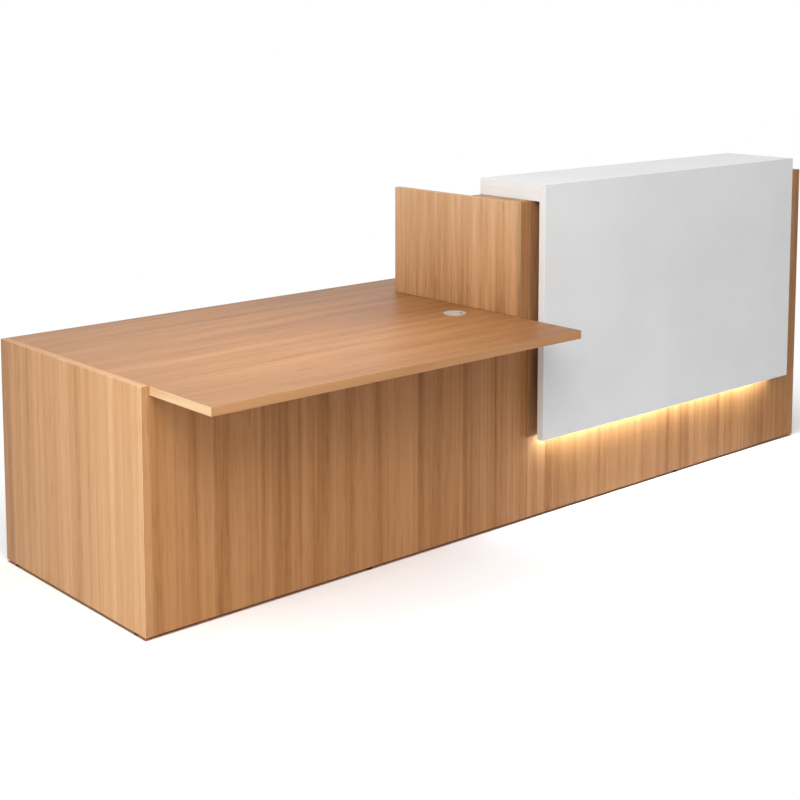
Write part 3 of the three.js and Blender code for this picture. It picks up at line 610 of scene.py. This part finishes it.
def threaded(low, high):
    """A screw thread as rings whose radius follows a triangle wave that winds up the stud."""
    sides = 24
    rows = math.ceil((high - low) / THREAD_PITCH * 8)
    shape = bmesh.new()
    rings = []
    for row in range(rows + 1):
        z = low + (high - low) * row / rows
        ring = []
        for i in range(sides):
            phase = ((z - low) / THREAD_PITCH - i / sides) % 1.0
            radius = STUD_RADIUS - THREAD_DEPTH * abs(2 * phase - 1)
            turn = 2 * math.pi * i / sides
            ring.append(shape.verts.new((radius * math.cos(turn), radius * math.sin(turn), z)))
        rings.append(ring)
    for lower, upper in zip(rings, rings[1:]):
        for i in range(sides):
            j = (i + 1) % sides
            shape.faces.new((lower[i], lower[j], upper[j], upper[i]))
    shape.faces.new(rings[0][::-1])
    shape.faces.new(rings[-1])
    return shape


def make_feet():
    for place in [body for body in frame["bodies"] if body.startswith("foot_")]:
        low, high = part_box(place)
        shift = Matrix.Translation(((low.x + high.x) / 2, (low.y + high.y) / 2, 0))
        pad_radius = (high.x - low.x) / 2
        pad = rounded([
            (0, low.z), (pad_radius, low.z), (pad_radius, low.z + PAD_EDGE),
            (STUD_RADIUS + PAD_EDGE, low.z + PAD_HEIGHT), (0, low.z + PAD_HEIGHT),
        ], 2 * EDGE_ROUND)
        pad_mesh = mesh_from(turned(pad, 64), place + "_pad")
        pad_mesh.transform(shift)
        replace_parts(add_piece(place + "_pad", pad_mesh, "black_plastic", place), place)
        stud = mesh_from(threaded(low.z + PAD_HEIGHT, high.z), place + "_stud", 80)
        stud.transform(shift)
        add_piece(place + "_stud", stud, "zinc_steel", place)

        node = place.replace("foot_", "foot_socket_")
        low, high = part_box(node)
        flange_radius = (high.x - low.x) / 2
        ring = [
            (SOCKET_BORE, low.z), (flange_radius, low.z), (flange_radius, low.z + SOCKET_FLANGE),
            (SOCKET_RADIUS, low.z + SOCKET_FLANGE), (SOCKET_RADIUS, high.z), (SOCKET_BORE, high.z),
        ]
        soft = rounded([*ring, ring[0], ring[1]], EDGE_ROUND)[1:-1]
        socket = mesh_from(turned(soft, 48, closed=True), node)
        socket.transform(shift)
        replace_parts(add_piece(node + "_turned", socket, "zinc_steel"), node)


# Screws

def screw_mesh():
    """A pan head with a cross recess, seated at z = 0 and facing +Z."""
    head = rounded([
        (0, 0), (SCREW_HEAD, 0), (SCREW_HEAD, SCREW_HEIGHT * 0.55), (SCREW_HEAD * 0.55, SCREW_HEIGHT),
        (0, SCREW_HEIGHT),
    ], 1.6 * EDGE_ROUND, 6)
    long, wide = RECESS_LENGTH / 2, RECESS_WIDTH / 2
    quarter = [(long, -wide), (long, wide), (wide, wide)]
    cross = [
        (x * math.cos(t) - y * math.sin(t), x * math.sin(t) + y * math.cos(t))
        for t in (k * math.pi / 2 for k in range(4)) for x, y in quarter
    ]
    return carved(turned(head, 40), prism(cross, SCREW_HEIGHT - RECESS_DEPTH, 2 * SCREW_HEIGHT), "screw")


def add_screws(name, seats):
    """One piece with a screw at each seat: a point and the way its head faces."""
    group = bmesh.new()
    for index, (point, facing) in enumerate(seats):
        one = bmesh.new()
        one.from_mesh(SCREW)
        turn = Matrix.Rotation(0.7 * index, 4, "Z")
        aim = facing.to_track_quat("Z", "Y").to_matrix().to_4x4()
        one.transform(Matrix.Translation(point) @ aim @ turn)
        copy = bpy.data.meshes.new("copy")
        one.to_mesh(copy)
        one.free()
        group.from_mesh(copy)
        bpy.data.meshes.remove(copy)
    add_piece(name, mesh_from(group, name), "zinc_steel")


def make_screws():
    x, y, z = AXES.values()
    for node in [name for name in nodes if name.startswith("angle_")]:
        low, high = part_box(node)
        if "panel" in node:
            reach, run = y, x
            corner = Vector(((low.x + high.x) / 2, low.y, high.z))
        else:
            reach, run = (x, y) if "left_gable" in node else (-x, y)
            corner = Vector((low.x if reach.x > 0 else high.x, (low.y + high.y) / 2, high.z))
        seats = []
        for side in (-1, 1):
            along = corner + run * side * ANGLE_PITCH / 2
            seats.append((along + reach * ANGLE_HOLE - z * ANGLE_THICKNESS, -z))
            seats.append((along - z * ANGLE_HOLE + reach * ANGLE_THICKNESS, reach))
        add_screws("screws_" + node, seats)

    low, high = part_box("seam_plate")
    middle = Vector(((low.x + high.x) / 2, (low.y + high.y) / 2, low.z))
    add_screws("screws_seam_plate", [(middle + x * side * hole, -z) for side in (-1, 1) for hole in PLATE_HOLES])

    low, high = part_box("light_driver")
    ears = (low.x + EAR_WIDTH / 2, high.x - EAR_WIDTH / 2)
    heights = [(low.z + high.z) / 2 + side * EAR_PITCH / 2 for side in (-1, 1)]
    add_screws("screws_light_driver", [
        (Vector((ear, low.y + EAR_THICKNESS, height)), y) for ear in ears for height in heights])

    low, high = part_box("wall_top_panel")
    rails = [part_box(node) for node in ("hood_end_left", "hood_centre_rail", "hood_end_right")]
    add_screws("screws_hood_rails", [
        (Vector(((a.x + b.x) / 2, depth, low.z)), -z)
        for a, b in rails for depth in (low.y + HOOD_SCREW_INSET, high.y - HOOD_SCREW_INSET)])


# Lead of the light strip: held by the driver, the clip, the hole and the end cap

def make_lead():
    low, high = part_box("light_lead")
    cap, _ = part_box("light_end_cap_right")
    rear, front = high.y - LEAD_RADIUS, low.y + LEAD_RADIUS
    top, bottom = high.z - LEAD_RADIUS, low.z + LEAD_RADIUS
    turn = high.x - LEAD_RADIUS
    corners = [Vector(point) for point in (
        (low.x, rear, top), (turn, rear, top), (turn, front, top), (turn, front, bottom),
        (cap.x - LEAD_TAIL, front, bottom),
    )]
    route = rounded(corners, LEAD_BEND, BEND_STEPS)
    curve = bpy.data.curves.new("light_lead_flex", "CURVE")
    curve.dimensions = "3D"
    curve.bevel_depth = LEAD_RADIUS
    curve.bevel_resolution = 6
    curve.use_fill_caps = True
    line = curve.splines.new("POLY")
    line.points.add(len(route) - 1)
    for point, place in zip(line.points, route):
        point.co = (*place, 1.0)
    line.use_smooth = True
    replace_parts(add_piece("light_lead_flex", curve, "black_plastic"), "light_lead")


# Studio

def make_floor():
    half = FLOOR_SIDE / 2
    mesh = bpy.data.meshes.new("floor")
    mesh.from_pydata([(-half, -half, 0), (half, -half, 0), (half, half, 0), (-half, half, 0)], [], [(0, 1, 2, 3)])
    floor = bpy.data.objects.new("floor", mesh)
    scene.collection.objects.link(floor)
    tree = Tree("floor")
    tree.nodes.remove(tree.shader)
    # Painted shade: the floor under the standing boards takes the brown of the gap's shadow
    gap_shade_colour = tree.add("Mix", {0: painted_shade_under_boards(tree), 6: (1, 1, 1, 1), 7: (*PAINTED_GAP_SHADE, 1)}, data_type="RGBA")
    lit = tree.add("BsdfDiffuse", {"Color": gap_shade_colour.outputs[2]})
    white = tree.add("Emission", {"Color": (1, 1, 1, 1), "Strength": 1.0})
    seen = tree.add("MixShader", {0: distance_fade(tree), 1: lit.outputs[0], 2: white.outputs[0]})
    bounced = tree.add("BsdfDiffuse", {"Color": (FLOOR_BOUNCE, FLOOR_BOUNCE, FLOOR_BOUNCE, 1)})
    blend = tree.add("MixShader", {
        0: seen_ray(tree), 1: bounced.outputs[0], 2: seen.outputs[0],
    })
    tree.feed(tree.nodes["Material Output"].inputs["Surface"], blend.outputs[0])
    mesh.materials.append(tree.material)


def distance_fade(tree):
    """How white the floor is seen: it rises with the distance from the desk's box."""
    half = (cad_box[1] - cad_box[0]) / 2
    beyond = tree.vector("SUBTRACT", tree.vector("ABSOLUTE", tree.place()), half)
    outside = tree.vector("MAXIMUM", beyond, Vector((0, 0, 0)))
    reach = tree.add("VectorMath", {0: outside}, operation="LENGTH").outputs["Value"]
    return tree.span(reach, 0.0, WHITE_REACH, 0.0, 1.0, interpolation_type="SMOOTHSTEP")


def painted_shade_under_boards(tree):
    """1 on the floor under the boards that stand on the feet, where the floor's colour is darkened: painted shade for
    the gap beneath them.
    """
    place = tree.place()
    under = 0.0
    for node in STANDING:
        low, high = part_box(node)
        middle = (low + high) / 2
        half = (high - low) / 2
        apart = tree.vector("ABSOLUTE", tree.vector("SUBTRACT", place, middle))
        inside = tree.add("SeparateXYZ", {0: tree.vector("SUBTRACT", half, apart)}).outputs
        nearest = tree.math("MINIMUM", inside["X"], inside["Y"])
        under = tree.math("MAXIMUM", under, tree.math("GREATER_THAN", nearest, 0.0))
    return under


def seen_ray(tree):
    """1 on the rays that show a background: straight to the camera, in a reflection or through glass."""
    path = tree.add("LightPath").outputs
    glossy = tree.math("MAXIMUM", path["Is Glossy Ray"], path["Is Transmission Ray"])
    return tree.math("MAXIMUM", path["Is Camera Ray"], glossy)


class WorldTree(Tree):
    """The same helpers, on the world's nodes."""

    def __init__(self, world):
        world.use_nodes = True
        self.nodes = world.node_tree.nodes
        self.links = world.node_tree.links


def make_world():
    world = bpy.data.worlds.new("studio")
    scene.world = world
    tree = WorldTree(world)
    tree.nodes.clear()
    light = tree.add("Background", {"Color": (1, 1, 1, 1), "Strength": AMBIENT})
    white = tree.add("Background", {"Color": (1, 1, 1, 1), "Strength": 1.0})
    blend = tree.add("MixShader", {0: seen_ray(tree), 1: light.outputs[0], 2: white.outputs[0]})
    output = tree.add("OutputWorld")
    tree.feed(output.inputs["Surface"], blend.outputs[0])


def add_lamp(name, kind, **settings):
    data = bpy.data.lights.new(name, kind)
    for key, value in settings.items():
        setattr(data, key, value)
    lamp = bpy.data.objects.new(name, data)
    lamp.visible_camera = False
    scene.collection.objects.link(lamp)
    return lamp


def make_lamps():
    sun = add_lamp("top_light", "SUN", energy=TOP_LIGHT, angle=TOP_SPREAD)
    sun.rotation_euler = Vector((0, 0, 1)).to_track_quat("Z", "Y").to_euler()
    pool = add_lamp(
        "desk_pool", "SPOT", energy=POOL_POWER, spot_size=POOL_SPREAD, spot_blend=1.0, shadow_soft_size=POOL_SOFTNESS)
    pool.location = POOL_PLACE
    for name, (place, aim, size, power) in PANELS.items():
        panel = add_lamp(name, "AREA", energy=power, size=size)
        panel.location = place
        panel.rotation_euler = (place - aim).to_track_quat("Z", "Y").to_euler()


def make_camera():
    data = bpy.data.cameras.new("camera")
    data.sensor_width = SENSOR_WIDTH
    data.lens = FOCAL_PIXELS / PHOTO_SIDE * SENSOR_WIDTH
    data.shift_y = FRAME_SHIFT
    camera = bpy.data.objects.new("camera", data)
    scene.collection.objects.link(camera)
    level = math.cos(CAMERA_PITCH)
    ahead = Vector((
        math.sin(CAMERA_HEADING) * level, math.cos(CAMERA_HEADING) * level, -math.sin(CAMERA_PITCH)))
    camera.location = CAMERA_PLACE
    camera.rotation_euler = ahead.to_track_quat("-Z", "Y").to_euler()
    scene.camera = camera


scene.view_settings.view_transform = "Standard"
make_camera()
make_world()
make_floor()
make_lamps()
dress_nodes()
SCREW = screw_mesh()
make_outlet()
make_feet()
make_screws()
make_lead()
